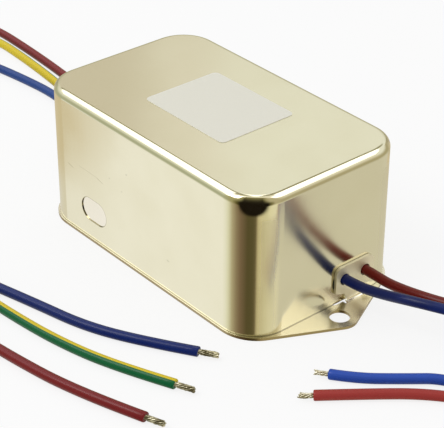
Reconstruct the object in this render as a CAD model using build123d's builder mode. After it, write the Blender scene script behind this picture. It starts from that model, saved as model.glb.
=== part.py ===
from build123d import *
import os
from math import cos, pi, radians, sin, tan

# EMI line filter: a drawn steel can on a flat base plate with two mounting ears. A tab bent up from
# the plate at each end guides the insulated leads, three on the line side (-X), two on the load side
# (+X). The origin is the centre of the plate's bottom face, +X runs along the can, +Z up, millimetres.

os.makedirs("parts", exist_ok=True)

# Drawn can
can_length = 87.3
can_width = 52.0
can_height = 39.8
can_wall = 0.8
can_corner_radius = 10.4
can_top_radius = 2.1

# Base plate and its ears
plate_thickness = 0.8
plate_side_overhang = 0.45
plate_end_overhang = 1.25
plate_corner_radius = 11.6
ear_hole_reach = 4.75
ear_hole_diameter = 5.4
ear_tip_radius = 4.7

# Leads and where they pass the end walls
lead_diameter = 2.7
conductor_diameter = 1.5
stripped_length = 4.8
strand_end_radius = 0.5
lead_hole_clearance = 0.25
lead_row_y = 8.7
lead_height = 7.9
load_lead_pitch = 7.2
line_lead_pitch = 4.0
lead_entry = 5.65

# Lead tabs, bent up from the plate
tab_gap = 0.1
tab_height = 11.8
tab_margin = 3.0
tab_corner_radius = 2.0
tab_shoulder_height = 4.4
tab_neck_width = 6.8
tab_neck_height = 3.4
tab_foot_width = 5.0
tab_bend_radius = 0.6
tab_relief_width = 1.0
tab_window_reach = 0.5
tab_window_clearance = 0.8

# Obround openings in the end walls, and the half-pierced mark of the same punch in the long wall
opening_height = 7.0
opening_margin = 3.5
opening_centre_height = 7.15
mark_length = 10.9
mark_depth = 0.25
mark_x = -20.4
mark_centre_height = 9.6

# Blank label on the top
label_length = 31.5
label_width = 24.5
label_thickness = 0.12
label_corner_radius = 1.5
label_x = -0.4
label_y = 1.0

# Insulating liner, a tray of thin sheet inside the can
liner_thickness = 0.4
liner_gap = 0.35
liner_height = 33.0
liner_opening_clearance = 0.5

# Common-mode choke, lying flat in the middle of the can
core_outer_diameter = 31.0
core_ring_width = 6.0
core_height = 12.0
core_edge_radius = 0.8
winding_wire = 1.3
winding_turns = 8
winding_span = 130.0
winding_clearance = 0.15
winding_bend_radius = 1.0
winding_tail_run = 3.0
seat_clearance = 0.1
divider_thickness = 1.5
divider_clearance = 0.1
divider_rise = 2.0

# Capacitors, bleed resistor and earth lug
sleeve_diameter = 3.4
sleeve_length = 12.0
x_capacitor_length = 18.0
x_capacitor_thickness = 8.5
x_capacitor_height = 14.5
x_capacitor_edge_radius = 0.8
x_capacitor_pitch = 15.0
x_capacitor_wire = 0.8
x_capacitor_wall_gap = 3.45
x_capacitor_inset = 1.6
x_capacitor_low_loop = 1.6
x_capacitor_loop_step = 1.8
y_capacitor_diameter = 8.0
y_capacitor_thickness = 2.4
y_capacitor_lead_length = 2.6
y_capacitor_wire = 0.6
y_capacitor_inset = 1.6
y_capacitor_spacing = 3.4
resistor_diameter = 2.3
resistor_length = 5.6
resistor_wire = 0.6
resistor_inset = 8.2
resistor_rise = 2.7
component_bend_radius = 0.9
joint_gap = 0.1
lug_width = 4.4
lug_thickness = 0.8
lug_foot_length = 5.5
lug_rise = 0.5
lug_window_clearance = 0.6

# Places that follow from the sizes above
can_base = plate_thickness
can_top = can_base + can_height
tab_bend_x = can_length / 2 + tab_gap + plate_thickness + tab_bend_radius
ear_hole_spacing = can_length + 2 * ear_hole_reach
lead_inner_end = can_length / 2 - lead_entry
liner_inset = can_wall + liner_gap
liner_floor = plate_thickness + liner_thickness
core_inner_diameter = core_outer_diameter - 2 * core_ring_width
core_bottom = liner_floor + seat_clearance + winding_wire + winding_clearance
core_top = core_bottom + core_height
sleeve_inner_end = lead_inner_end - sleeve_length
sleeve_top = lead_height + sleeve_diameter / 2
x_capacitor_y = liner_inset + liner_thickness + x_capacitor_wall_gap + x_capacitor_length / 2 - can_width / 2
load_lead_ys = [lead_row_y + side * load_lead_pitch / 2 for side in (-1, 1)]
line_lead_ys = [lead_row_y + side * line_lead_pitch for side in (-1, 0, 1)]

# Routes of the leads from inside the can to the cut ends, points chosen along each lead
lead_routes = {
    "blue_load": [
        (lead_inner_end, load_lead_ys[0], lead_height), (47.1, load_lead_ys[0], lead_height),
        (54.7, 6.7, 8.2), (67.3, 8.6, 11.1), (78.4, 16.7, 9.2), (90.2, 22.1, 5.6), (98.3, 15.0, 1.7),
        (95.5, 3.9, 1.4), (84.1, 1.3, 1.4), (77.3, -7.1, 1.4), (70.3, -15.2, 1.4), (64.7, -19.2, 1.4),
    ],
    "red_load": [
        (lead_inner_end, load_lead_ys[1], lead_height), (47.1, load_lead_ys[1], lead_height),
        (54.7, 12.7, 7.5), (70.1, 15.0, 9.4), (81.7, 22.0, 9.0), (92.2, 25.2, 4.8), (101.7, 19.8, 1.7),
        (104.0, 8.2, 1.4), (95.4, 1.0, 1.4), (84.8, -7.0, 1.4), (75.8, -18.0, 1.4), (68.4, -27.7, 1.4),
    ],
    "blue_line": [
        (-lead_inner_end, line_lead_ys[0], lead_height), (-50.0, line_lead_ys[0], lead_height),
        (-63.1, 7.0, 4.8), (-78.1, 11.0, 1.6), (-95.1, 14.4, 1.4), (-114.0, 12.6, 1.4),
        (-131.0, 9.6, 1.4), (-141.7, -2.1, 1.4), (-139.7, -19.4, 1.4), (-125.2, -34.0, 1.4),
        (-103.3, -45.2, 1.4), (-78.0, -54.5, 1.4), (-51.4, -61.6, 1.4), (-26.8, -62.1, 1.4),
        (-5.4, -56.4, 1.4), (11.5, -52.4, 1.4), (26.2, -44.9, 1.4), (37.8, -37.4, 1.4),
    ],
    "earth": [
        (-lead_inner_end, line_lead_ys[1], lead_height), (-50.0, line_lead_ys[1], lead_height),
        (-63.5, 11.6, 4.8), (-79.4, 15.4, 1.6), (-98.5, 18.9, 1.4), (-121.5, 21.4, 1.4),
        (-144.3, 22.3, 1.4), (-158.5, 14.0, 1.4), (-161.8, -3.4, 1.4), (-152.9, -20.8, 1.4),
        (-134.2, -35.0, 1.4), (-110.0, -46.3, 1.4), (-83.1, -56.4, 1.4), (-55.6, -63.7, 1.4),
        (-28.9, -65.6, 1.4), (-6.1, -63.9, 1.4), (12.5, -61.3, 1.4), (29.3, -56.6, 1.4),
        (44.3, -49.9, 1.4),
    ],
    "red_line": [
        (-lead_inner_end, line_lead_ys[2], lead_height), (-50.0, line_lead_ys[2], lead_height),
        (-63.5, 16.4, 4.8), (-79.9, 20.3, 1.6), (-100.4, 24.0, 1.4), (-125.4, 26.0, 1.4),
        (-151.3, 26.8, 1.4), (-170.4, 20.0, 1.4), (-178.8, 3.4, 1.4), (-173.7, -16.5, 1.4),
        (-156.2, -33.0, 1.4), (-131.2, -46.1, 1.4), (-102.9, -57.7, 1.4), (-72.9, -68.2, 1.4),
        (-43.2, -75.4, 1.4), (-15.5, -76.9, 1.4), (10.3, -73.8, 1.4), (31.7, -69.6, 1.4),
        (49.6, -63.0, 1.4),
    ],
}


def tab_width(lead_ys):
    """Width of a lead tab: its outer holes and the margin beside them."""
    return lead_ys[-1] - lead_ys[0] + 2 * tab_margin


def opening_length(lead_ys):
    """Length of the obround opening that a row of leads passes."""
    return lead_ys[-1] - lead_ys[0] + 2 * opening_margin


def lead_tab(lead_ys):
    """A tab as it stands at the +X end, with one round hole for each lead."""
    width = tab_width(lead_ys)
    inner_face = can_length / 2 + tab_gap
    outer_face = inner_face + plate_thickness
    bend_z = plate_thickness + tab_bend_radius
    with BuildPart() as tab:
        with BuildSketch(Plane.XZ.offset(-lead_row_y)):
            with BuildLine():
                Polyline(
                    (inner_face, bend_z),
                    (inner_face, tab_height),
                    (outer_face, tab_height),
                    (outer_face, bend_z),
                )
                CenterArc((tab_bend_x, bend_z), tab_bend_radius, 180, 90)
                Line((tab_bend_x, plate_thickness), (tab_bend_x, 0))
                CenterArc((tab_bend_x, bend_z), tab_bend_radius + plate_thickness, 180, 90)
            make_face()
        extrude(amount=width / 2, both=True)
        with BuildSketch(Plane((inner_face, lead_row_y, 0), x_dir=(0, 1, 0), z_dir=(1, 0, 0))):
            with BuildLine():
                Polyline(
                    (-tab_foot_width / 2, 0),
                    (tab_foot_width / 2, 0),
                    (tab_foot_width / 2, bend_z),
                    (tab_neck_width / 2, tab_neck_height),
                    (width / 2, tab_shoulder_height),
                    (width / 2, tab_height),
                    (-width / 2, tab_height),
                    (-width / 2, tab_shoulder_height),
                    (-tab_neck_width / 2, tab_neck_height),
                    (-tab_foot_width / 2, bend_z),
                    close=True,
                )
            make_face()
        extrude(amount=tab_bend_x - inner_face, mode=Mode.INTERSECT)
        top_corners = tab.edges().filter_by(Axis.X).group_by(Axis.Z)[-1]
        fillet(top_corners, tab_corner_radius)
        with BuildSketch(Plane.YZ.offset(inner_face)):
            with Locations(*[(y, lead_height) for y in lead_ys]):
                Circle(lead_diameter / 2 + lead_hole_clearance)
        extrude(amount=plate_thickness, mode=Mode.SUBTRACT)
    return tab.part


def tab_window(lead_ys):
    """The hole that the tab's flat blank leaves in the plate at the +X end, with its relief slots."""
    bent_length = (tab_bend_radius + plate_thickness / 2) * pi / 2
    blank_length = bent_length + tab_height - plate_thickness - tab_bend_radius
    inner = tab_bend_x - blank_length - tab_window_clearance
    outer = can_length / 2 + tab_window_reach
    with BuildPart() as window:
        with BuildSketch():
            with Locations(((inner + outer) / 2, lead_row_y)):
                RectangleRounded(
                    outer - inner, tab_width(lead_ys) + 2 * tab_window_clearance, tab_corner_radius
                )
            with Locations(((inner + tab_bend_x) / 2, lead_row_y)):
                Rectangle(tab_bend_x - inner, tab_foot_width + 2 * tab_relief_width)
        extrude(amount=plate_thickness)
    return window.part


def wire_along(points, radii, diameter):
    """A round wire along straight runs joined by arcs."""
    with BuildPart() as wire:
        with BuildLine() as path:
            FilletPolyline(*points, radius=radii)
        start = Plane(origin=path.line @ 0, z_dir=path.line % 0)
        with BuildSketch(start):
            Circle(diameter / 2)
        sweep()
    return wire.part


def route_radii(points):
    """The largest arcs that a lead's runs allow, one for each corner."""
    radii = []
    for before, corner, after in zip(points, points[1:], points[2:]):
        arriving = Vector(*corner) - Vector(*before)
        leaving = Vector(*after) - Vector(*corner)
        shorter = min(arriving.length, leaving.length)
        radii.append(0.45 * shorter / tan(radians(arriving.get_angle(leaving)) / 2))
    return radii


# Drawn can, open at the bottom, its walls standing on the plate
with BuildPart() as can:
    with BuildSketch(Plane.XY.offset(can_base)):
        RectangleRounded(can_length, can_width, can_corner_radius)
    extrude(amount=can_height)
    fillet(can.faces().sort_by(Axis.Z)[-1].edges(), can_top_radius)
    offset(amount=-can_wall, openings=can.faces().sort_by(Axis.Z)[0])
    for wall_x, inwards, lead_ys in (
        (can_length / 2, -1, load_lead_ys),
        (-can_length / 2, 1, line_lead_ys),
    ):
        with BuildSketch(Plane.YZ.offset(wall_x)):
            with Locations((lead_row_y, opening_centre_height)):
                SlotOverall(opening_length(lead_ys), opening_height)
        extrude(amount=inwards * 2 * can_wall, mode=Mode.SUBTRACT)
    with BuildSketch(Plane.XZ.offset(can_width / 2 - can_wall)):
        with Locations((mark_x, mark_centre_height)):
            SlotOverall(mark_length, opening_height)
    extrude(amount=-mark_depth)
    with BuildSketch(Plane.XZ.offset(can_width / 2)):
        with Locations((mark_x, mark_centre_height)):
            SlotOverall(mark_length, opening_height)
    extrude(amount=-mark_depth, mode=Mode.SUBTRACT)
can.part.label = "can"
export_step(can.part, "parts/can.step")

# Base plate: the outline is the hull of four corner rounds and two ear tips, with both tabs bent up
load_tab = lead_tab(load_lead_ys)
line_tab = mirror(lead_tab(line_lead_ys), about=Plane.YZ)
load_window = tab_window(load_lead_ys)
line_window = mirror(tab_window(line_lead_ys), about=Plane.YZ)
corner_x = can_length / 2 + plate_end_overhang - plate_corner_radius
corner_y = can_width / 2 + plate_side_overhang - plate_corner_radius
with BuildPart() as base_plate:
    with BuildSketch():
        with GridLocations(2 * corner_x, 2 * corner_y, 2, 2):
            Circle(plate_corner_radius)
        with GridLocations(ear_hole_spacing, 0, 2, 1):
            Circle(ear_tip_radius)
        make_hull()
        with GridLocations(ear_hole_spacing, 0, 2, 1):
            Circle(ear_hole_diameter / 2, mode=Mode.SUBTRACT)
    extrude(amount=plate_thickness)
    add([load_window, line_window], mode=Mode.SUBTRACT)
    add([load_tab, line_tab])
base_plate.part.label = "base_plate"
export_step(base_plate.part, "parts/base_plate.step")

# Blank paper label on the can's top
with BuildPart() as blank_label:
    with BuildSketch(Plane.XY.offset(can_top)):
        with Locations((label_x, label_y)):
            RectangleRounded(label_length, label_width, label_corner_radius)
    extrude(amount=label_thickness)
blank_label.part.label = "blank_label"
export_step(blank_label.part, "parts/blank_label.step")

# Insulating liner: an open tray that lies on the plate, with openings for leads and earth lug
lug_x = -sleeve_inner_end
with BuildPart() as insulating_liner:
    with BuildSketch(Plane.XY.offset(plate_thickness)):
        RectangleRounded(
            can_length - 2 * liner_inset, can_width - 2 * liner_inset, can_corner_radius - liner_inset
        )
    extrude(amount=liner_height)
    offset(amount=-liner_thickness, openings=insulating_liner.faces().sort_by(Axis.Z)[-1])
    for wall_x, inwards, lead_ys in (
        (can_length / 2 - liner_inset, -1, load_lead_ys),
        (-can_length / 2 + liner_inset, 1, line_lead_ys),
    ):
        with BuildSketch(Plane.YZ.offset(wall_x)):
            with Locations((lead_row_y, opening_centre_height)):
                SlotOverall(
                    opening_length(lead_ys) + 2 * liner_opening_clearance,
                    opening_height + 2 * liner_opening_clearance,
                )
        extrude(amount=inwards * 2 * liner_thickness, mode=Mode.SUBTRACT)
    with BuildSketch(Plane.XY.offset(plate_thickness)):
        with Locations((lug_x + lug_foot_length / 2, lead_row_y)):
            Rectangle(lug_foot_length + 2 * lug_window_clearance, lug_width + 2 * lug_window_clearance)
    extrude(amount=liner_thickness, mode=Mode.SUBTRACT)
insulating_liner.part.label = "insulating_liner"
export_step(insulating_liner.part, "parts/insulating_liner.step")

# Ferrite ring of the choke
with BuildPart() as choke_core:
    with BuildSketch(Plane.XY.offset(core_bottom)):
        Circle(core_outer_diameter / 2)
        Circle(core_inner_diameter / 2, mode=Mode.SUBTRACT)
    extrude(amount=core_height)
    fillet(choke_core.edges().filter_by(GeomType.CIRCLE), core_edge_radius)
choke_core.part.label = "choke_core"
export_step(choke_core.part, "parts/choke_core.step")

# Plastic divider across the ring's bore, which keeps the two windings apart
with BuildPart() as choke_divider:
    with BuildSketch(Plane.XY.offset(liner_floor)):
        Rectangle(core_inner_diameter - 2 * divider_clearance, divider_thickness)
    extrude(amount=core_top + divider_rise - liner_floor)
choke_divider.part.label = "choke_divider"
export_step(choke_divider.part, "parts/choke_divider.step")


def winding(side, line_y, load_y):
    """One winding round the +Y (side 1) or -Y (side -1) half of the ring, with a tail at each end."""
    reach = winding_clearance + winding_wire / 2
    outer = core_outer_diameter / 2 + reach
    inner = core_inner_diameter / 2 - reach
    low = core_bottom - reach
    high = core_top + reach
    step = winding_span / winding_turns
    first = 90 + winding_span / 2

    def at(radius, degrees, z):
        return (radius * cos(radians(degrees)), side * radius * sin(radians(degrees)), z)

    points = [
        (-sleeve_inner_end, line_y, lead_height),
        (winding_tail_run - sleeve_inner_end, line_y, lead_height),
        at(outer, first, lead_height),
    ]
    for turn in range(winding_turns):
        angle = first - turn * step
        points += [
            at(outer, angle, high),
            at(inner, angle - step / 2, high),
            at(inner, angle - step / 2, low),
            at(outer, angle - step, low),
        ]
    points += [
        at(outer, first - winding_span, lead_height),
        (sleeve_inner_end - winding_tail_run, load_y, lead_height),
        (sleeve_inner_end, load_y, lead_height),
    ]
    return wire_along(points, winding_bend_radius, winding_wire)


for name, side, line_y, load_y in (
    ("choke_winding_line", 1, line_lead_ys[2], load_lead_ys[1]),
    ("choke_winding_neutral", -1, line_lead_ys[0], load_lead_ys[0]),
):
    coil = winding(side, line_y, load_y)
    coil.label = name
    export_step(coil, f"parts/{name}.step")


def x_capacitor(end, lead_ys):
    """A box film capacitor standing on the liner, its two wires bent over to the lead joints."""
    centre_x = end * (sleeve_inner_end + x_capacitor_inset)
    box_top = liner_floor + x_capacitor_height
    with BuildPart() as body:
        with BuildSketch(Plane.XY.offset(liner_floor)):
            with Locations((centre_x, x_capacitor_y)):
                Rectangle(x_capacitor_thickness, x_capacitor_length)
        extrude(amount=x_capacitor_height)
        fillet(body.edges().filter_by(Axis.Z), x_capacitor_edge_radius)
        fillet(body.faces().sort_by(Axis.Z)[-1].edges(), x_capacitor_edge_radius / 2)
    wires = []
    for order, (side, joint_y) in enumerate(((1, lead_ys[0]), (-1, lead_ys[-1]))):
        foot_y = x_capacitor_y + side * x_capacitor_pitch / 2
        loop = box_top + x_capacitor_low_loop + order * x_capacitor_loop_step
        route = [
            (centre_x, foot_y, box_top - x_capacitor_edge_radius),
            (centre_x, foot_y, loop),
            (centre_x, joint_y, loop),
            (centre_x, joint_y, sleeve_top + joint_gap),
        ]
        wires.append(wire_along(route, component_bend_radius, x_capacitor_wire))
    with BuildPart() as capacitor:
        add(body.part)
        add(wires)
    return capacitor.part


for name, end, lead_ys in (
    ("x_capacitor_line", -1, line_lead_ys),
    ("x_capacitor_load", 1, load_lead_ys),
):
    capacitor = x_capacitor(end, lead_ys)
    capacitor.label = name
    export_step(capacitor, f"parts/{name}.step")

# Disc capacitors from each line lead to the earth lead, standing on the lead joints by their wires
for name, order, live_y in (
    ("y_capacitor_line", 0, line_lead_ys[2]),
    ("y_capacitor_neutral", 1, line_lead_ys[0]),
):
    disc_x = -(lead_inner_end - y_capacitor_inset - order * y_capacitor_spacing)
    disc_z = sleeve_top + joint_gap + y_capacitor_lead_length + y_capacitor_diameter / 2
    disc_y = (live_y + line_lead_ys[1]) / 2
    with BuildPart() as y_capacitor:
        with BuildSketch(Plane.YZ.offset(disc_x - y_capacitor_thickness / 2)):
            with Locations((disc_y, disc_z)):
                Circle(y_capacitor_diameter / 2)
        extrude(amount=y_capacitor_thickness)
        fillet(y_capacitor.edges().filter_by(GeomType.CIRCLE), y_capacitor_thickness / 4)
        with BuildSketch(Plane.XY.offset(sleeve_top + joint_gap)):
            with Locations((disc_x, live_y), (disc_x, line_lead_ys[1])):
                Circle(y_capacitor_wire / 2)
        extrude(amount=disc_z - sleeve_top - joint_gap)
    y_capacitor.part.label = name
    export_step(y_capacitor.part, f"parts/{name}.step")

# Bleed resistor bridging the two line joints
resistor_x = -(lead_inner_end - resistor_inset)
resistor_z = sleeve_top + resistor_rise
resistor_lead = wire_along(
    [
        (resistor_x, line_lead_ys[0], sleeve_top + joint_gap),
        (resistor_x, line_lead_ys[0], resistor_z),
        (resistor_x, line_lead_ys[2], resistor_z),
        (resistor_x, line_lead_ys[2], sleeve_top + joint_gap),
    ],
    component_bend_radius,
    resistor_wire,
)
with BuildPart() as bleed_resistor:
    with BuildSketch(Plane.XZ.offset(-lead_row_y - resistor_length / 2)):
        with Locations((resistor_x, resistor_z)):
            Circle(resistor_diameter / 2)
    extrude(amount=resistor_length)
    fillet(bleed_resistor.edges().filter_by(GeomType.CIRCLE), resistor_diameter / 6)
    add(resistor_lead)
bleed_resistor.part.label = "bleed_resistor"
export_step(bleed_resistor.part, "parts/bleed_resistor.step")

# Earth lug: a bent strip welded to the plate through the liner's floor
with BuildPart() as earth_lug:
    with BuildSketch(Plane.XZ.offset(-lead_row_y)):
        with BuildLine():
            Polyline(
                (lug_x, plate_thickness),
                (lug_x + lug_foot_length, plate_thickness),
                (lug_x + lug_foot_length, plate_thickness + lug_thickness),
                (lug_x + lug_thickness, plate_thickness + lug_thickness),
                (lug_x + lug_thickness, sleeve_top + lug_rise),
                (lug_x, sleeve_top + lug_rise),
                close=True,
            )
        make_face()
    extrude(amount=lug_width / 2, both=True)
    fillet(earth_lug.edges().filter_by(Axis.X).group_by(Axis.Z)[-1], lug_thickness)
earth_lug.part.label = "earth_lug"
export_step(earth_lug.part, "parts/earth_lug.step")

# Leads, with a crimped joint at the inner end and stripped, twisted strands at the cut end
for name, route in lead_routes.items():
    radii = route_radii(route)
    print(name, "radii", [round(radius, 1) for radius in radii])
    lead = wire_along(route, radii, lead_diameter)
    lead.label = f"{name}_lead"
    export_step(lead, f"parts/{name}_lead.step")

    end = 1 if route[0][0] > 0 else -1
    with BuildPart() as joint:
        with BuildSketch(Plane.YZ.offset(end * sleeve_inner_end)):
            with Locations((route[0][1], route[0][2])):
                Circle(sleeve_diameter / 2)
        extrude(amount=end * sleeve_length)
    joint.part.label = f"{name}_joint"
    export_step(joint.part, f"parts/{name}_joint.step")

    cut = Vector(*route[-1])
    heading = cut - Vector(*route[-2])
    with BuildPart() as strands:
        with BuildSketch(Plane(origin=cut, z_dir=heading)):
            Circle(conductor_diameter / 2)
        extrude(amount=stripped_length)
        fillet(strands.faces().sort_by(Axis(cut, heading))[-1].edges(), strand_end_radius)
    strands.part.label = f"{name}_strands"
    export_step(strands.part, f"parts/{name}_strands.step")
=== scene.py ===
import bpy
import math
from mathutils import Matrix, Vector


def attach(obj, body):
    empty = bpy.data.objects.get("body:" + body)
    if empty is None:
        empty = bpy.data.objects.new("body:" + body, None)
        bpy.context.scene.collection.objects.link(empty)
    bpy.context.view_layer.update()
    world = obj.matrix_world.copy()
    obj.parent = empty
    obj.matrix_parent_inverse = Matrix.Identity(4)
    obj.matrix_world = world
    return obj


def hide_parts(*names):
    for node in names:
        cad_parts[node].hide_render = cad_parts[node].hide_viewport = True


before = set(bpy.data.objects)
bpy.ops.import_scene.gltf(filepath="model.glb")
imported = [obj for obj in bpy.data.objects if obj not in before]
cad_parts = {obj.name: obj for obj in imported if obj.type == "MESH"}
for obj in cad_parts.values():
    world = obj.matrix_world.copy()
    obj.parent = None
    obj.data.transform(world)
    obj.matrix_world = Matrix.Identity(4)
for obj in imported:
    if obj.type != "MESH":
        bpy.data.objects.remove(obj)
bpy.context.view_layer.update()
scene = bpy.context.scene
print("frame loaded")


def hexColour(code):  # sRGB hex to the linear values that shaders take
    values = [int(code[i:i + 2], 16) / 255 for i in (0, 2, 4)]
    return [v / 12.92 if v <= 0.04045 else ((v + 0.055) / 1.055) ** 2.4 for v in values] + [1]


def grey(level):
    return [level] * 3 + [1]


def metres(millimetres):
    return [length / 1000 for length in millimetres]


def perMillimetre(size):  # noise scale for a pattern that repeats every so many millimetres
    return 1000 / size


def addNode(tree, kind, inputs=None, **settings):
    node = tree.nodes.new(kind)
    for name, value in settings.items():
        setattr(node, name, value)
    for name, value in (inputs or {}).items():
        if isinstance(value, bpy.types.NodeSocket):
            tree.links.new(value, node.inputs[name])
        else:
            node.inputs[name].default_value = value
    return node


def addObject(name, data):
    made = bpy.data.objects.new(name, data)
    scene.collection.objects.link(made)
    return made


def newMaterial(name):
    material = bpy.data.materials.new(name)
    material.use_nodes = True
    tree = material.node_tree
    shader = tree.nodes["Principled BSDF"]
    return material, tree, shader


# Camera
view = {
    "place": (0.28772, -0.24217, 0.23989),
    "azimuth": 49.70,  # degrees round from looking along +Y
    "elevation": 31.62,
    "roll": 0.245,
    "lens": 132.66,  # mm, on the sensor's width
    "sensor": 36,
    "nearest": 0.01,  # m
}
lensData = bpy.data.cameras.new("camera")
lensData.sensor_width = view["sensor"]
lensData.lens = view["lens"]
lensData.clip_start = view["nearest"]
cameraObject = addObject("camera", lensData)
cameraObject.matrix_world = (
    Matrix.Translation(view["place"])
    @ Matrix.Rotation(math.radians(view["azimuth"]), 4, "Z")
    @ Matrix.Rotation(math.radians(90 - view["elevation"]), 4, "X")
    @ Matrix.Rotation(math.radians(view["roll"]), 4, "Z")
)
scene.camera = cameraObject
print("camera placed")


# Leads: soft insulated hook-up wire. Each route runs from inside the can to the cut end, in metres.
leadSizes = {
    "diameter": 0.0027,
    "sides": 32,
    "smoothness": 12,  # steps of the curve between two points of a route
    "cutSlant": 0.00012,  # how far out of square the insulation is cut
    "slantTurn": 1,  # radians round the lead from its top to where the cut reaches furthest
    "cutEdge": 0.0003,
    "cutRound": 0.3,  # share of the edge at which it bends, so that it looks rounded
    "neckDiameter": 0.0016,
    "neckDepth": 0.0006,
    "neckTaper": 0.95,
}
leads = {
    "blue_load": {
        "exit": (0.04455, 0.0051, 0.0079), "length": 0.116,
        "route": [
            (0.038, 0.0051, 0.0079), (0.0471, 0.0051, 0.0079), (0.0547, 0.0067, 0.0082),
            (0.0673, 0.0086, 0.0111), (0.0784, 0.0167, 0.0092), (0.0902, 0.0221, 0.0056),
            (0.0983, 0.015, 0.0017), (0.0955, 0.0039, 0.0014), (0.0841, 0.0013, 0.0014),
            (0.0773, -0.0071, 0.0014), (0.0703, -0.0152, 0.0014), (0.0647, -0.0192, 0.0014),
        ],
    },
    "red_load": {
        "exit": (0.04455, 0.0123, 0.0079), "length": 0.129,
        "route": [
            (0.038, 0.0123, 0.0079), (0.0471, 0.0123, 0.0079), (0.0547, 0.0127, 0.0075),
            (0.0701, 0.015, 0.0094), (0.0817, 0.022, 0.009), (0.0922, 0.0252, 0.0048),
            (0.1017, 0.0198, 0.0017), (0.104, 0.0082, 0.0014), (0.0954, 0.001, 0.0014),
            (0.0848, -0.007, 0.0014), (0.0758, -0.018, 0.0014), (0.0684, -0.0277, 0.0014),
        ],
    },
    "blue_line": {
        "exit": (-0.04455, 0.0047, 0.0079), "length": 0.319,
        "route": [
            (-0.038, 0.0047, 0.0079), (-0.05, 0.0047, 0.0079), (-0.0631, 0.007, 0.0048),
            (-0.0781, 0.011, 0.0016), (-0.0951, 0.0144, 0.0014), (-0.114, 0.0126, 0.0014),
            (-0.131, 0.0096, 0.0014), (-0.1417, -0.0021, 0.0014), (-0.1397, -0.0194, 0.0014),
            (-0.1252, -0.034, 0.0014), (-0.1033, -0.0452, 0.0014), (-0.078, -0.0545, 0.0014),
            (-0.0514, -0.0616, 0.0014), (-0.0268, -0.0621, 0.0014), (-0.0054, -0.0564, 0.0014),
            (0.0115, -0.0524, 0.0014), (0.0262, -0.0449, 0.0014), (0.0378, -0.0374, 0.0014),
        ],
    },
    "earth": {
        "exit": (-0.04455, 0.0087, 0.0079), "length": 0.369,
        "route": [
            (-0.038, 0.0087, 0.0079), (-0.05, 0.0087, 0.0079), (-0.0635, 0.0116, 0.0048),
            (-0.0794, 0.0154, 0.0016), (-0.0985, 0.0189, 0.0014), (-0.1215, 0.0214, 0.0014),
            (-0.1443, 0.0223, 0.0014), (-0.1585, 0.014, 0.0014), (-0.1618, -0.0034, 0.0014),
            (-0.1529, -0.0208, 0.0014), (-0.1342, -0.035, 0.0014), (-0.11, -0.0463, 0.0014),
            (-0.0831, -0.0564, 0.0014), (-0.0556, -0.0637, 0.0014), (-0.0289, -0.0656, 0.0014),
            (-0.0061, -0.0639, 0.0014), (0.0125, -0.0613, 0.0014), (0.0293, -0.0566, 0.0014),
            (0.0443, -0.0499, 0.0014),
        ],
    },
    "red_line": {
        "exit": (-0.04455, 0.0127, 0.0079), "length": 0.411,
        "route": [
            (-0.038, 0.0127, 0.0079), (-0.05, 0.0127, 0.0079), (-0.0635, 0.0164, 0.0048),
            (-0.0799, 0.0203, 0.0016), (-0.1004, 0.024, 0.0014), (-0.1254, 0.026, 0.0014),
            (-0.1513, 0.0268, 0.0014), (-0.1704, 0.02, 0.0014), (-0.1788, 0.0034, 0.0014),
            (-0.1737, -0.0165, 0.0014), (-0.1562, -0.033, 0.0014), (-0.1312, -0.0461, 0.0014),
            (-0.1029, -0.0577, 0.0014), (-0.0729, -0.0682, 0.0014), (-0.0432, -0.0754, 0.0014),
            (-0.0155, -0.0769, 0.0014), (0.0103, -0.0738, 0.0014), (0.0317, -0.0696, 0.0014),
            (0.0496, -0.063, 0.0014),
        ],
    },
}


def smoothLine(route):  # the places along a smooth curve that the route's points steer
    curve = bpy.data.curves.new("route", "CURVE")
    curve.dimensions = "3D"
    curve.resolution_u = leadSizes["smoothness"]
    spline = curve.splines.new("NURBS")
    spline.points.add(len(route) - 1)
    for point, place in zip(spline.points, route):
        point.co = (*place, 1)
    spline.order_u = 3  # quadratic, which stays near the points
    spline.use_endpoint_u = True
    holder = addObject("route", curve)
    depsgraph = bpy.context.evaluated_depsgraph_get()
    mesh = bpy.data.meshes.new_from_object(holder.evaluated_get(depsgraph))
    places = [vertex.co.copy() for vertex in mesh.vertices]
    bpy.data.objects.remove(holder)
    bpy.data.curves.remove(curve)
    bpy.data.meshes.remove(mesh)
    return places


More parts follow.
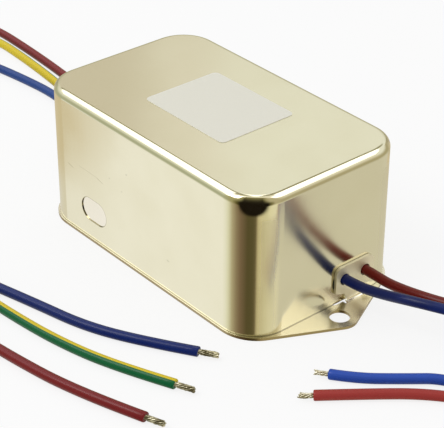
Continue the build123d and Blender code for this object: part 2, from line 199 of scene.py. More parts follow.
def insulationTube(name, line):  # a tube with its own UV: round it, and along it in metres
    radius = leadSizes["diameter"] / 2
    neck = leadSizes["neckDiameter"] / 2
    edge = leadSizes["cutEdge"]
    bend = edge * leadSizes["cutRound"]
    sides = leadSizes["sides"]
    stations = []  # middle, heading, radius, slant, distance along
    travelled = 0
    for i, place in enumerate(line):
        heading = (line[min(i + 1, len(line) - 1)] - line[max(i - 1, 0)]).normalized()
        if i:
            travelled += (place - line[i - 1]).length
        stations.append((place, heading, radius, 0, travelled))
    tip, heading = stations.pop()[:2]
    slant = leadSizes["cutSlant"]
    depth = leadSizes["neckDepth"]
    stations += [
        (tip - heading * edge, heading, radius, slant, travelled - edge),
        (tip - heading * bend, heading, radius - bend, slant, travelled - bend),
        (tip, heading, radius - edge, slant, travelled),
        (tip, heading, neck, slant, travelled),
        (tip - heading * depth, heading, neck * leadSizes["neckTaper"], 0, travelled),
    ]
    vertices = []
    for place, heading, size, tilt, along in stations:
        side = heading.cross(Vector((0, 0, 1))).normalized()
        up = side.cross(heading)
        for k in range(sides):
            angle = 2 * math.pi * k / sides
            out = up * math.cos(angle) + side * math.sin(angle)
            forward = heading * tilt * math.cos(angle + leadSizes["slantTurn"])
            vertices.append(place + out * size + forward)
    rows = len(stations) - 1
    distances = [station[-1] for station in stations]
    faces, uvs = [], []
    for row in range(rows):
        first, second = row * sides, (row + 1) * sides
        low, high = distances[row], distances[row + 1]
        for k in range(sides):
            after = (k + 1) % sides
            faces.append((first + k, first + after, second + after, second + k))
            left, right = k / sides, (k + 1) / sides
            uvs += [(left, low), (right, low), (right, high), (left, high)]
    faces.append(tuple(range(sides))[::-1])
    uvs += [(0, 0)] * sides
    faces.append(tuple(range(rows * sides, (rows + 1) * sides)))
    uvs += [(0, distances[-1])] * sides
    mesh = bpy.data.meshes.new(name)
    mesh.from_pydata(vertices, [], faces)
    layer = mesh.uv_layers.new(name="UVMap")
    for loop, uv in zip(layer.data, uvs):
        loop.uv = uv
    mesh.polygons.foreach_set("use_smooth", [True] * len(faces))
    for polygon in mesh.polygons[(rows - 2) * sides:]:  # the cut face, the neck and the two ends
        polygon.use_smooth = False
    mesh.update()
    return mesh


# Bare conductors: tinned copper strands with a right-hand twist
strandSizes = {
    "line": {  # twisted tight and cut blunt
        "Strand Count": 6, "Strand Radius": 0.00027, "Core Radius": 0.0003, "Neck Radius": 0.00022,
        "Body Radius": 0.00052, "Tip Radius": 0.0005, "Length": 0.0056, "Turns": 0.9, "Splay": 0.00008,
    },
    "load": {  # shorter, finer and coming loose
        "Strand Count": 6, "Strand Radius": 0.0002, "Core Radius": 0.0003, "Neck Radius": 0.00036,
        "Body Radius": 0.00046, "Tip Radius": 0.00056, "Length": 0.0041, "Turns": 0.55, "Splay": 0.00026,
    },
}
strandDetail = {
    "steps": 40,  # along a strand
    "sides": 10,
    "coreSides": 12,
    "coreReach": 0.97,  # share of the length
    "swollen": 0.3,  # share of the length at which the bundle has its body radius
    "tip": 0.86,  # and from which it changes to its tip radius
    "strayLow": (-1, -1, -3),  # how far an end may stray, in splays
    "strayHigh": (1, 1, 1),
    "strayPower": 2.0,
}


def strandTree():
    tree = bpy.data.node_groups.new("twistedStrands", "GeometryNodeTree")
    tree.interface.new_socket("Geometry", in_out="OUTPUT", socket_type="NodeSocketGeometry")
    kinds = {"Strand Count": "Int", "Seed": "Int", "Material": "Material"}
    for name in (
        "Strand Count", "Strand Radius", "Core Radius", "Neck Radius", "Body Radius", "Tip Radius",
        "Length", "Turns", "Splay", "Seed", "Material",
    ):
        kind = "NodeSocket" + kinds.get(name, "Float")
        tree.interface.new_socket(name, in_out="INPUT", socket_type=kind)
    given = addNode(tree, "NodeGroupInput").outputs
    # one strand, a helix of radius 1 that is drawn in or out along its length further down
    helix = addNode(tree, "GeometryNodeCurveSpiral", {
        "Resolution": strandDetail["steps"], "Rotations": given["Turns"],
        "Start Radius": 1.0, "End Radius": 1.0, "Height": given["Length"],
    })
    copies = addNode(tree, "GeometryNodeDuplicateElements", {
        "Geometry": helix.outputs["Curve"], "Amount": given["Strand Count"],
    }, domain="SPLINE").outputs
    number = copies["Duplicate Index"]
    place = addNode(tree, "GeometryNodeInputPosition").outputs[0]
    share = addNode(tree, "ShaderNodeMath", {
        0: number, 1: given["Strand Count"],
    }, operation="DIVIDE").outputs[0]
    turn = addNode(tree, "ShaderNodeMath", {0: share, 1: 2 * math.pi}, operation="MULTIPLY").outputs[0]
    turned = addNode(tree, "ShaderNodeVectorRotate", {
        "Vector": place, "Axis": (0, 0, 1), "Angle": turn,
    }, rotation_type="AXIS_ANGLE").outputs[0]
    along = addNode(tree, "GeometryNodeSplineParameter").outputs["Factor"]
    body = addNode(tree, "ShaderNodeMapRange", {
        "Value": along, "From Max": strandDetail["swollen"],
        "To Min": given["Neck Radius"], "To Max": given["Body Radius"],
    }, interpolation_type="SMOOTHSTEP").outputs[0]
    radius = addNode(tree, "ShaderNodeMapRange", {
        "Value": along, "From Min": strandDetail["tip"], "To Min": body, "To Max": given["Tip Radius"],
    }, interpolation_type="SMOOTHSTEP").outputs[0]
    parts = addNode(tree, "ShaderNodeSeparateXYZ", {0: turned}).outputs
    sideways = addNode(tree, "ShaderNodeCombineXYZ", {"X": parts["X"], "Y": parts["Y"]}).outputs[0]
    drawn = addNode(tree, "ShaderNodeVectorMath", {
        0: sideways, "Scale": radius,
    }, operation="SCALE").outputs[0]
    lift = addNode(tree, "ShaderNodeCombineXYZ", {"Z": parts["Z"]}).outputs[0]
    helical = addNode(tree, "ShaderNodeVectorMath", {0: drawn, 1: lift}, operation="ADD").outputs[0]
    # each strand strays a little more towards its end
    chance = addNode(tree, "FunctionNodeRandomValue", {
        "Min": strandDetail["strayLow"], "Max": strandDetail["strayHigh"],
        "Seed": given["Seed"], "ID": number,
    }, data_type="FLOAT_VECTOR").outputs["Value"]
    spread = addNode(tree, "ShaderNodeMath", {
        0: along, 1: strandDetail["strayPower"],
    }, operation="POWER").outputs[0]
    amount = addNode(tree, "ShaderNodeMath", {0: spread, 1: given["Splay"]}, operation="MULTIPLY").outputs[0]
    stray = addNode(tree, "ShaderNodeVectorMath", {
        0: chance, "Scale": amount,
    }, operation="SCALE").outputs[0]
    final = addNode(tree, "ShaderNodeVectorMath", {0: helical, 1: stray}, operation="ADD").outputs[0]
    laid = addNode(tree, "GeometryNodeSetPosition", {"Geometry": copies["Geometry"], "Position": final})
    # the strands in the middle, seen only between the outer ones and at the tip
    reach = addNode(tree, "ShaderNodeMath", {
        0: given["Length"], 1: strandDetail["coreReach"],
    }, operation="MULTIPLY").outputs[0]
    end = addNode(tree, "ShaderNodeCombineXYZ", {"Z": reach}).outputs[0]
    middle = addNode(tree, "GeometryNodeCurvePrimitiveLine", {"End": end})
    wires = []
    for path, sides, size in (
        (laid, strandDetail["sides"], "Strand Radius"), (middle, strandDetail["coreSides"], "Core Radius"),
    ):
        ring = addNode(tree, "GeometryNodeCurvePrimitiveCircle", {"Resolution": sides, "Radius": given[size]})
        wires.append(addNode(tree, "GeometryNodeCurveToMesh", {
            "Curve": path.outputs[0], "Profile Curve": ring.outputs["Curve"], "Fill Caps": True,
        }).outputs[0])
    joined = addNode(tree, "GeometryNodeJoinGeometry")
    for wire in wires:
        tree.links.new(wire, joined.inputs[0])
    real = addNode(tree, "GeometryNodeRealizeInstances", {0: joined.outputs[0]})
    smooth = addNode(tree, "GeometryNodeSetShadeSmooth", {0: real.outputs[0]})
    painted = addNode(tree, "GeometryNodeSetMaterial", {
        "Geometry": smooth.outputs[0], "Material": given["Material"],
    })
    addNode(tree, "NodeGroupOutput", {0: painted.outputs[0]})
    return tree


def plainMesh(name, tree, values):  # what a node tree makes, as a mesh with no modifier left
    holder = addObject(name, bpy.data.meshes.new(name))
    modifier = holder.modifiers.new("shape", "NODES")
    modifier.node_group = tree
    for socket in tree.interface.items_tree:
        if socket.in_out == "INPUT" and socket.name in values:
            modifier[socket.identifier] = values[socket.name]
    depsgraph = bpy.context.evaluated_depsgraph_get()
    mesh = bpy.data.meshes.new_from_object(holder.evaluated_get(depsgraph), depsgraph=depsgraph)
    bpy.data.objects.remove(holder)
    return mesh


# Tin plate of the can and of the plate it stands on. Lengths are in mm
tinPlate = {
    "cloud": 14,  # between patches where the plating is duller
    "cloudTint": (0.95, 0.94, 0.9),  # their colour against the rest
    "tintRange": (0.35, 0.65),  # of the noise, from bright to dull
    "tintShare": 0.35,
    "roughRange": (0.3, 0.7),  # of the noise, from the smoothest to the roughest
    "grain": 0.9,  # between rolling and drawing lines, coarser than real so that they show
    "grainHeight": 0.0012,
    "grainStretch": 0.03,  # their width against their length
}
canPlate = dict(tinPlate, **{
    "colour": "EAE5CB",  # warm cream cast
    "roughness": (0.07, 0.13),
    "wave": 22,  # between the soft swells of the drawn wall
    "waveHeight": 0.012,
    "paintedFootShade": {"colour": "3C3418", "top": 1.1, "blur": 0.1, "share": 0.55},  # painted shade of the gap along the foot, where it stands on the plate
    "ends": {
        "reach": (41.1, 42.1, 43.3, 43.6),  # from the middle: rounds begin, are whole, end, and walls begin
        "rounds": 0.2,  # rougher by this at the rounds beside the end walls
        "roundHeights": (34, 36.5),  # between which the rounds clear up again
        "walls": (0.03, 0.1),  # rougher by this at the foot and near the top of the end walls
        "wallHeights": (12, 34, 38.3, 38.9),  # it starts to grow, is whole, starts to clear and is gone
    },
    "corners": {
        "slope": 0.27,  # of the sheet just under the top, at the middle of a corner
        "sharpness": 5.1,  # higher keeps it nearer the middle of the corner
        "gain": 1.7,  # higher makes it whole over more of the corner
        "heights": (35.1, 38.3, 40.32, 40.46),  # it starts, is whole, starts to end and ends
        "flats": (66.5, 31.2),  # length and width of the walls' flat parts
    },
    "longWall": {  # the near long wall, with places along it and above the base
        "face": -25.4,  # across the part, the wall lies beyond
        "pierced": {
            "middle": (-20.4, 9.6), "straight": 3.9, "radius": 3.5, "inside": "F1EBDB",
            "line": 0.16, "soft": 0.5, "strength": 0.6,
        },
        "markTone": "7A7052",
        "soft": 0.4,  # share of a stroke's half width that is whole
        "strokes": [  # from, to, width and strength of the scratches and specks
            ((-31.5, 20.0), (-29.2, 19.5), 0.2, 0.5),
            ((-26.4, 21.3), (-18.2, 21.1), 0.14, 0.3),
            ((-18.3, 21.0), (-15.9, 20.4), 0.18, 0.5),
            ((-5.4, 27.9), (-5.3, 27.8), 0.3, 0.8),
            ((-12.9, 23.5), (-12.6, 23.5), 0.3, 0.35),
            ((-7.7, 21.8), (-7.4, 21.7), 0.3, 0.35),
            ((11.1, 10.0), (11.8, 9.8), 0.3, 0.45),
        ],
    },
})
basePlate = dict(tinPlate, **{
    "colour": "FEF9E8",
    "roughness": (0.2, 0.27),
    "wave": 12,
    "waveHeight": 0.02,
    "cut": {"colour": "8E7A4C", "slopes": (0.7, 0.3), "top": 0.85, "share": 0.85},  # bare steel at the edges
    "bentUp": {"heights": (1.5, 2.2), "rougher": 0.34},  # the tabs, scuffed by the bending tool
})


def drawnCorners(tree, place, values):
    # Deep drawing pulls the sheet in under the top at the four corners, so the wall leans back there
    parts = addNode(tree, "ShaderNodeSeparateXYZ", {0: place}).outputs
    past = []  # how far past the wall's flat part, lengthways and crossways
    for axis, flat in zip("XY", metres(values["flats"])):
        out = addNode(tree, "ShaderNodeMath", {0: parts[axis]}, operation="ABSOLUTE").outputs[0]
        beyond = addNode(tree, "ShaderNodeMath", {0: out, 1: flat / 2}, operation="SUBTRACT").outputs[0]
        past.append(addNode(tree, "ShaderNodeMath", {0: beyond, 1: 0.0}, operation="MAXIMUM").outputs[0])
    # twice their product over the sum of their squares is 1 at the middle of a corner and 0 at its ends
    product = addNode(tree, "ShaderNodeMath", {0: past[0], 1: past[1]}, operation="MULTIPLY").outputs[0]
    pair = addNode(tree, "ShaderNodeCombineXYZ", {"X": past[0], "Y": past[1]}).outputs[0]
    squared = addNode(tree, "ShaderNodeVectorMath", {
        0: pair, 1: pair,
    }, operation="DOT_PRODUCT").outputs["Value"]
    share = addNode(tree, "ShaderNodeMath", {0: product, 1: squared}, operation="DIVIDE").outputs[0]
    middle = addNode(tree, "ShaderNodeMath", {0: share, 1: 2.0}, operation="MULTIPLY").outputs[0]
    narrow = addNode(tree, "ShaderNodeMath", {
        0: middle, 1: values["sharpness"],
    }, operation="POWER").outputs[0]
    foot, full, ends, top = metres(values["heights"])
    rise, fall = [
        addNode(tree, "ShaderNodeMapRange", {
            "Value": parts["Z"], "From Min": none, "From Max": whole,
        }).outputs[0] for none, whole in ((foot, full), (top, ends))
    ]
    level = addNode(tree, "ShaderNodeMath", {0: rise, 1: fall}, operation="MINIMUM").outputs[0]
    strong = addNode(tree, "ShaderNodeMath", {0: level, 1: values["gain"]}, operation="MULTIPLY").outputs[0]
    amount = addNode(tree, "ShaderNodeMath", {
        0: narrow, 1: strong,
    }, operation="MULTIPLY", use_clamp=True).outputs[0]
    facing = addNode(tree, "ShaderNodeNewGeometry").outputs["Normal"]
    rises = addNode(tree, "ShaderNodeSeparateXYZ", {0: facing}).outputs["Z"]
    missing = addNode(tree, "ShaderNodeMath", {
        0: values["slope"], 1: rises,
    }, operation="SUBTRACT").outputs[0]
    lean = addNode(tree, "ShaderNodeMath", {0: amount, 1: missing}, operation="MULTIPLY").outputs[0]
    upwards = addNode(tree, "ShaderNodeCombineXYZ", {"Z": lean}).outputs[0]
    leaned = addNode(tree, "ShaderNodeVectorMath", {0: facing, 1: upwards}, operation="ADD").outputs[0]
    return addNode(tree, "ShaderNodeVectorMath", {0: leaned}, operation="NORMALIZE").outputs[0]


def distanceTo(tree, place, start, end):  # from the straight line between two places, in metres
    first, last = [Vector((along, 0, height)) / 1000 for along, height in (start, end)]
    run = last - first
    away = addNode(tree, "ShaderNodeVectorMath", {0: place, 1: first}, operation="SUBTRACT").outputs[0]
    dot = addNode(tree, "ShaderNodeVectorMath", {0: away, 1: run}, operation="DOT_PRODUCT").outputs["Value"]
    share = addNode(tree, "ShaderNodeMath", {
        0: dot, 1: 1 / run.length_squared,
    }, operation="MULTIPLY", use_clamp=True).outputs[0]
    nearest = addNode(tree, "ShaderNodeVectorMath", {0: run, "Scale": share}, operation="SCALE").outputs[0]
    rest = addNode(tree, "ShaderNodeVectorMath", {0: away, 1: nearest}, operation="SUBTRACT").outputs[0]
    return addNode(tree, "ShaderNodeVectorMath", {0: rest}, operation="LENGTH").outputs["Value"]


def longWallLayers(tree, place, values):  # the paler inside of the pierced mark, then a darker line round it and the scratches and specks
    flat = addNode(tree, "ShaderNodeVectorMath", {0: place, 1: (1, 0, 1)}, operation="MULTIPLY").outputs[0]
    across = addNode(tree, "ShaderNodeSeparateXYZ", {0: place}).outputs["Y"]
    onWall = addNode(tree, "ShaderNodeMath", {
        0: across, 1: values["face"] / 1000,
    }, operation="LESS_THAN").outputs[0]
    pierced = values["pierced"]
    middle, height = pierced["middle"]
    half = pierced["straight"] / 2
    reach = distanceTo(tree, flat, (middle - half, height), (middle + half, height))
    radius, line = metres((pierced["radius"], pierced["line"]))
    off = addNode(tree, "ShaderNodeMath", {0: reach, 1: radius}, operation="SUBTRACT").outputs[0]
    inside = addNode(tree, "ShaderNodeMapRange", {
        "Value": off, "From Min": 0.0, "From Max": -line,
    }).outputs[0]
    outline = addNode(tree, "ShaderNodeMath", {0: off}, operation="ABSOLUTE").outputs[0]
    strokes = [(outline, line, pierced["soft"], pierced["strength"])]
    for start, end, width, strength in values["strokes"]:
        strokes.append((distanceTo(tree, flat, start, end), width / 2000, values["soft"], strength))
    strongest = 0.0
    for distance, halfWidth, soft, strength in strokes:
        stroke = addNode(tree, "ShaderNodeMapRange", {
            "Value": distance, "From Min": halfWidth, "From Max": halfWidth * soft, "To Max": strength,
        }).outputs[0]
        strongest = addNode(tree, "ShaderNodeMath", {
            0: strongest, 1: stroke,
        }, operation="MAXIMUM").outputs[0]
    layers = []
    for share, colour in ((inside, pierced["inside"]), (strongest, values["markTone"])):
        here = addNode(tree, "ShaderNodeMath", {0: share, 1: onWall}, operation="MULTIPLY").outputs[0]
        layers.append((here, hexColour(colour)))
    return layers


def shearedEdge(tree, height, values):  # where the sheet's cut edge stands, and not its face
    facing = addNode(tree, "ShaderNodeNewGeometry").outputs["True Normal"]
    upright = addNode(tree, "ShaderNodeSeparateXYZ", {0: facing}).outputs["Z"]
    steep = addNode(tree, "ShaderNodeMath", {0: upright}, operation="ABSOLUTE").outputs[0]
    face, edge = values["slopes"]
    sheared = addNode(tree, "ShaderNodeMapRange", {
        "Value": steep, "From Min": face, "From Max": edge, "To Max": values["share"],
    }).outputs[0]
    inPlate = addNode(tree, "ShaderNodeMath", {
        0: height, 1: values["top"] / 1000,
    }, operation="LESS_THAN").outputs[0]
    return addNode(tree, "ShaderNodeMath", {0: sheared, 1: inPlate}, operation="MULTIPLY").outputs[0]


def dullEnds(tree, parts, values):  # how much rougher the can is at its ends, from handling and drawing
    out = addNode(tree, "ShaderNodeMath", {0: parts["X"]}, operation="ABSOLUTE").outputs[0]
    begin, full, leave, flat = metres(values["reach"])
    clears, clear = metres(values["roundHeights"])
    grows, whole, stops, gone = metres(values["wallHeights"])
    rise, onWall, onRound, higher, under = [
        addNode(tree, "ShaderNodeMapRange", {
            "Value": measure, "From Min": start, "From Max": end, "To Min": least, "To Max": most,
        }).outputs[0] for measure, start, end, least, most in (
            (out, begin, full, 0.0, 1.0),
            (out, leave, flat, 0.0, 1.0),
            (parts["Z"], clear, clears, 0.0, values["rounds"]),
            (parts["Z"], grows, whole, *values["walls"]),
            (parts["Z"], gone, stops, 0.0, 1.0),
        )
    ]
    wall = addNode(tree, "ShaderNodeMath", {0: higher, 1: under}, operation="MULTIPLY").outputs[0]
    amount = addNode(tree, "ShaderNodeMix", {0: onWall, 2: onRound, 3: wall}, data_type="FLOAT").outputs[0]
    return addNode(tree, "ShaderNodeMath", {0: rise, 1: amount}, operation="MULTIPLY").outputs[0]


def tinPlateMaterial(name, values):
    # Steel sheet with bright tin plate, drawn or rolled: mirror-like with soft swells, fine lines and
    # a warm cast, so that it shows blurred surroundings and not its own colour
    material, tree, shader = newMaterial(name)
    place = addNode(tree, "ShaderNodeTexCoord").outputs["Object"]
    parts = addNode(tree, "ShaderNodeSeparateXYZ", {0: place}).outputs
    cloud = addNode(tree, "ShaderNodeTexNoise", {
        "Vector": place, "Scale": perMillimetre(values["cloud"]), "Detail": 3.0,
    }).outputs["Fac"]
    bright, dull = values["tintRange"]
    tint = addNode(tree, "ShaderNodeMapRange", {
        "Value": cloud, "From Min": bright, "From Max": dull, "To Max": values["tintShare"],
    }).outputs[0]
    colour = hexColour(values["colour"])
    layers = [(tint, [part * less for part, less in zip(colour, values["cloudTint"])] + [1])]
    if "paintedFootShade" in values:  # painted shade: a dark line at the foot, where the can meets the plate
        paintedFootShade = values["paintedFootShade"]
        top, blur = metres((paintedFootShade["top"], paintedFootShade["blur"]))
        low = addNode(tree, "ShaderNodeMapRange", {
            "Value": parts["Z"], "From Min": top, "From Max": top - blur, "To Max": paintedFootShade["share"],
        }).outputs[0]
        layers.append((low, hexColour(paintedFootShade["colour"])))
    if "longWall" in values:
        layers += longWallLayers(tree, place, values["longWall"])
    if "cut" in values:
        layers.append((shearedEdge(tree, parts["Z"], values["cut"]), hexColour(values["cut"]["colour"])))
    for share, tone in layers:
        colour = addNode(tree, "ShaderNodeMix", {
            "Factor": share, 6: colour, 7: tone,
        }, data_type="RGBA").outputs[2]
    tree.links.new(colour, shader.inputs["Base Color"])
    shader.inputs["Metallic"].default_value = 1.0
    low, high = values["roughRange"]
    smoothest, roughest = values["roughness"]
    rough = addNode(tree, "ShaderNodeMapRange", {
        "Value": cloud, "From Min": low, "From Max": high, "To Min": smoothest, "To Max": roughest,
    }).outputs[0]
    worn = []
    if "ends" in values:
        worn.append(dullEnds(tree, parts, values["ends"]))
    if "bentUp" in values:
        flat, stands = metres(values["bentUp"]["heights"])
        worn.append(addNode(tree, "ShaderNodeMapRange", {
            "Value": parts["Z"], "From Min": flat, "From Max": stands,
            "To Max": values["bentUp"]["rougher"],
        }).outputs[0])
    for more in worn:
        rough = addNode(tree, "ShaderNodeMath", {0: rough, 1: more}, operation="ADD").outputs[0]
    tree.links.new(rough, shader.inputs["Roughness"])
    swell = addNode(tree, "ShaderNodeTexNoise", {
        "Vector": place, "Scale": perMillimetre(values["wave"]), "Detail": 1.0,
    })
    waves = addNode(tree, "ShaderNodeBump", {
        "Height": swell.outputs["Fac"], "Strength": 1.0, "Distance": values["waveHeight"] / 1000,
    })
    if "corners" in values:
        tree.links.new(drawnCorners(tree, place, values["corners"]), waves.inputs["Normal"])
    stretched = addNode(tree, "ShaderNodeMapping", {
        "Vector": place, "Scale": (1.0, 1.0, values["grainStretch"]),
    })
    lines = addNode(tree, "ShaderNodeTexNoise", {
        "Vector": stretched.outputs[0], "Scale": perMillimetre(values["grain"]), "Detail": 2.0,
    })
    grain = addNode(tree, "ShaderNodeBump", {
        "Height": lines.outputs["Fac"], "Strength": 1.0, "Distance": values["grainHeight"] / 1000,
        "Normal": waves.outputs[0],
    })
    tree.links.new(grain.outputs[0], shader.inputs["Normal"])
    return material


insulation = {
    "tones": {  # painted light and shade along each lead: its tone where it leaves the can, and at its cut end
        "blue_load": ("101D56", "2A50B2"),
        "red_load": ("6C1712", "A03632"),
        "blue_line": ("28488A", "0B2266"),
        "earth": ("0E7F4C", "0A6238"),
        "red_line": ("7E2226", "761A1E"),
    },
    "paintedLightChanges": {"load": (0.03, 0.095), "line": (0.06, 0.2)},  # metres along, between which the painted light and shade change
    "cloud": 6,  # mm between patches where the colour is slightly ahead or behind
    "cloudShare": 0.3,
    "roughness": 0.3,
    "ior": 1.53,
    "specular": 0.27,  # waxy, with less gloss than the IOR alone gives
    "ripple": 1.6,  # mm between faint ripples along the wire
    "ripplesRound": 2.0,  # ripples in a turn round it
    "rippleHeight": 0.03,  # mm
}
stripe = {
    "lead": "earth",
    "colour": "DCC42A",
    "middle": 0.797,  # share of a turn from the top
    "width": 0.5,
    "blur": 0.006,
    "wander": 0.05,  # share of a turn by which it drifts
    "wanderLength": 25,  # mm
}


def insulationMaterial(lead):
    # Extruded PVC insulation: an even, slightly waxy gloss with faint ripples from the die
    material, tree, shader = newMaterial(f"extruded PVC insulation, {lead.replace('_', ' ')}")
    coordinates = addNode(tree, "ShaderNodeTexCoord").outputs
    place, uv = coordinates["Object"], coordinates["UV"]
    parts = addNode(tree, "ShaderNodeSeparateXYZ", {0: uv}).outputs
    cloud = addNode(tree, "ShaderNodeTexNoise", {
        "Vector": place, "Scale": perMillimetre(insulation["cloud"]), "Detail": 3.0,
    }).outputs["Fac"]
    # painted light and shade: the tone moves from the lead's end at the can to its cut end
    begin, done = insulation["paintedLightChanges"]["load" if lead.endswith("load") else "line"]
    paintedLightShare = addNode(tree, "ShaderNodeMapRange", {
        "Value": parts["Y"], "From Min": begin, "From Max": done,
    }).outputs[0]
    cloudy = addNode(tree, "ShaderNodeMath", {
        0: cloud, 1: insulation["cloudShare"], 2: -insulation["cloudShare"] / 2,
    }, operation="MULTIPLY_ADD").outputs[0]
    share = addNode(tree, "ShaderNodeMath", {
        0: paintedLightShare, 1: cloudy,
    }, operation="ADD", use_clamp=True).outputs[0]
    start, end = insulation["tones"][lead]
    colour = addNode(tree, "ShaderNodeMix", {
        "Factor": share, 6: hexColour(start), 7: hexColour(end),
    }, data_type="RGBA").outputs[2]
    if lead == stripe["lead"]:
        wander = addNode(tree, "ShaderNodeTexNoise", {
            "Vector": place, "Scale": perMillimetre(stripe["wanderLength"]), "Detail": 1.0,
        }).outputs["Fac"]
        shift = addNode(tree, "ShaderNodeMath", {
            0: wander, 1: stripe["wander"], 2: 0.5 - stripe["wander"] / 2 - stripe["middle"],
        }, operation="MULTIPLY_ADD").outputs[0]
        moved = addNode(tree, "ShaderNodeMath", {0: parts["X"], 1: shift}, operation="ADD").outputs[0]
        wrapped = addNode(tree, "ShaderNodeMath", {0: moved}, operation="FRACT").outputs[0]
        centred = addNode(tree, "ShaderNodeMath", {0: wrapped, 1: 0.5}, operation="SUBTRACT").outputs[0]
        away = addNode(tree, "ShaderNodeMath", {0: centred}, operation="ABSOLUTE").outputs[0]
        edge, blur = stripe["width"] / 2, stripe["blur"]
        mask = addNode(tree, "ShaderNodeMapRange", {
            "Value": away, "From Min": edge - blur, "From Max": edge + blur, "To Min": 1.0, "To Max": 0.0,
        }).outputs[0]
        colour = addNode(tree, "ShaderNodeMix", {
            "Factor": mask, 6: colour, 7: hexColour(stripe["colour"]),
        }, data_type="RGBA").outputs[2]
    tree.links.new(colour, shader.inputs["Base Color"])
    shader.inputs["Roughness"].default_value = insulation["roughness"]
    shader.inputs["IOR"].default_value = insulation["ior"]
    shader.inputs["Specular IOR Level"].default_value = insulation["specular"]
    squeezed = addNode(tree, "ShaderNodeMapping", {
        "Vector": uv, "Scale": (insulation["ripplesRound"], perMillimetre(insulation["ripple"]), 1.0),
    })
    ripples = addNode(tree, "ShaderNodeTexNoise", {
        "Vector": squeezed.outputs[0], "Scale": 1.0, "Detail": 2.0,
    })
    bump = addNode(tree, "ShaderNodeBump", {
        "Height": ripples.outputs["Fac"], "Strength": 1.0, "Distance": insulation["rippleHeight"] / 1000,
    })
    tree.links.new(bump.outputs[0], shader.inputs["Normal"])
    return material


# Finishes whose colour varies between two tones and whose surface is slightly uneven, both at the
# grain's size. Grain and height are in mm, and a higher contrast parts the tones more sharply
evenFinish = {"nodes": (), "metallic": 0.0, "grain": 1.0, "height": 0.01, "contrast": 1.0}
finishes = {
    "coated label paper, blank": {  # smooth and pale, with a faint sheen
        "nodes": ("blank_label",), "tones": ("E7E5D8", "E1DFD2"), "roughness": 0.45,
        "grain": 0.35, "height": 0.004,
    },
    "tinned copper strand, dulled": {  # painted highlights on grey-brown, with painted shade in the gaps between strands
        "tones": ("DED8BE", "5C5438"), "roughness": 0.3, "metallic": 1.0,
        "grain": 2.0, "height": 0.004, "contrast": 3.0,
    },
    "tinned copper strand, bright": {  # nearly white painted highlights, with painted shade in the gaps between strands
        "tones": ("FFFDF2", "C8C0A2"), "roughness": 0.34, "metallic": 1.0,
        "grain": 2.0, "height": 0.004, "contrast": 3.0,
    },
    "pressed insulating board": {  # dry and fibrous, with no gloss
        "nodes": ("insulating_liner",), "tones": ("C8C2B0", "B8B29E"), "roughness": 0.8, "grain": 0.8,
    },
    "sintered ferrite": {  # dark grey and finely gritty
        "nodes": ("choke_core",), "tones": ("3A3A3C", "2C2C2E"), "roughness": 0.6, "grain": 0.5,
    },
    "moulded nylon, black": {  # soft sheen
        "nodes": ("choke_divider",), "tones": ("1C1C1C", "242424"), "roughness": 0.5,
    },
    "enamelled copper wire": {  # glossy orange-brown
        "nodes": ("choke_winding_line", "choke_winding_neutral"),
        "tones": ("B4602E", "8E4420"), "roughness": 0.25, "metallic": 1.0,
    },
    "moulded polyester case, yellow": {  # soft sheen
        "nodes": ("x_capacitor_line", "x_capacitor_load"), "tones": ("D8B028", "C8A020"), "roughness": 0.45,
    },
    "dipped ceramic, blue": {  # glossy lacquer
        "nodes": ("y_capacitor_line", "y_capacitor_neutral"), "tones": ("2C5C9C", "244E88"),
        "roughness": 0.35,
    },
    "lacquered film resistor": {  # tan and glossy
        "nodes": ("bleed_resistor",), "tones": ("B89C70", "A88C60"), "roughness": 0.35,
    },
    "tinned steel strip": {  # satin, with a warm cast
        "nodes": ("earth_lug",), "tones": ("D8D0B8", "C0B898"), "roughness": 0.3, "metallic": 1.0,
    },
    "tinned crimp sleeve": {  # satin, with duller patches
        "nodes": [f"{lead}_joint" for lead in leads],
        "tones": ("C8C0A8", "A8A088"), "roughness": 0.35, "metallic": 1.0,
    },
}


def evenMaterial(name, values):
    material, tree, shader = newMaterial(name)
    place = addNode(tree, "ShaderNodeTexCoord").outputs["Object"]
    grain = addNode(tree, "ShaderNodeTexNoise", {
        "Vector": place, "Scale": perMillimetre(values["grain"]), "Detail": 3.0,
    }).outputs["Fac"]
    spread = 0.5 / values["contrast"]
    share = addNode(tree, "ShaderNodeMapRange", {
        "Value": grain, "From Min": 0.5 - spread, "From Max": 0.5 + spread,
    }).outputs[0]
    first, second = [hexColour(tone) for tone in values["tones"]]
    colour = addNode(tree, "ShaderNodeMix", {
        "Factor": share, 6: first, 7: second,
    }, data_type="RGBA").outputs[2]
    tree.links.new(colour, shader.inputs["Base Color"])
    shader.inputs["Roughness"].default_value = values["roughness"]
    shader.inputs["Metallic"].default_value = values["metallic"]
    bump = addNode(tree, "ShaderNodeBump", {
        "Height": grain, "Strength": 1.0, "Distance": values["height"] / 1000,
    })
    tree.links.new(bump.outputs[0], shader.inputs["Normal"])
    return material


nodeMaterials = {
    "can": tinPlateMaterial("bright tin plate, drawn", canPlate),
    "base_plate": tinPlateMaterial("bright tin plate, rolled", basePlate),
}
materials = {}
for name, facts in finishes.items():
    values = dict(evenFinish, **facts)
    materials[name] = evenMaterial(name, values)
    for node in values["nodes"]:
        nodeMaterials[node] = materials[name]
for node, material in nodeMaterials.items():
    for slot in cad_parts[node].material_slots:
        slot.material = material
print("materials made")

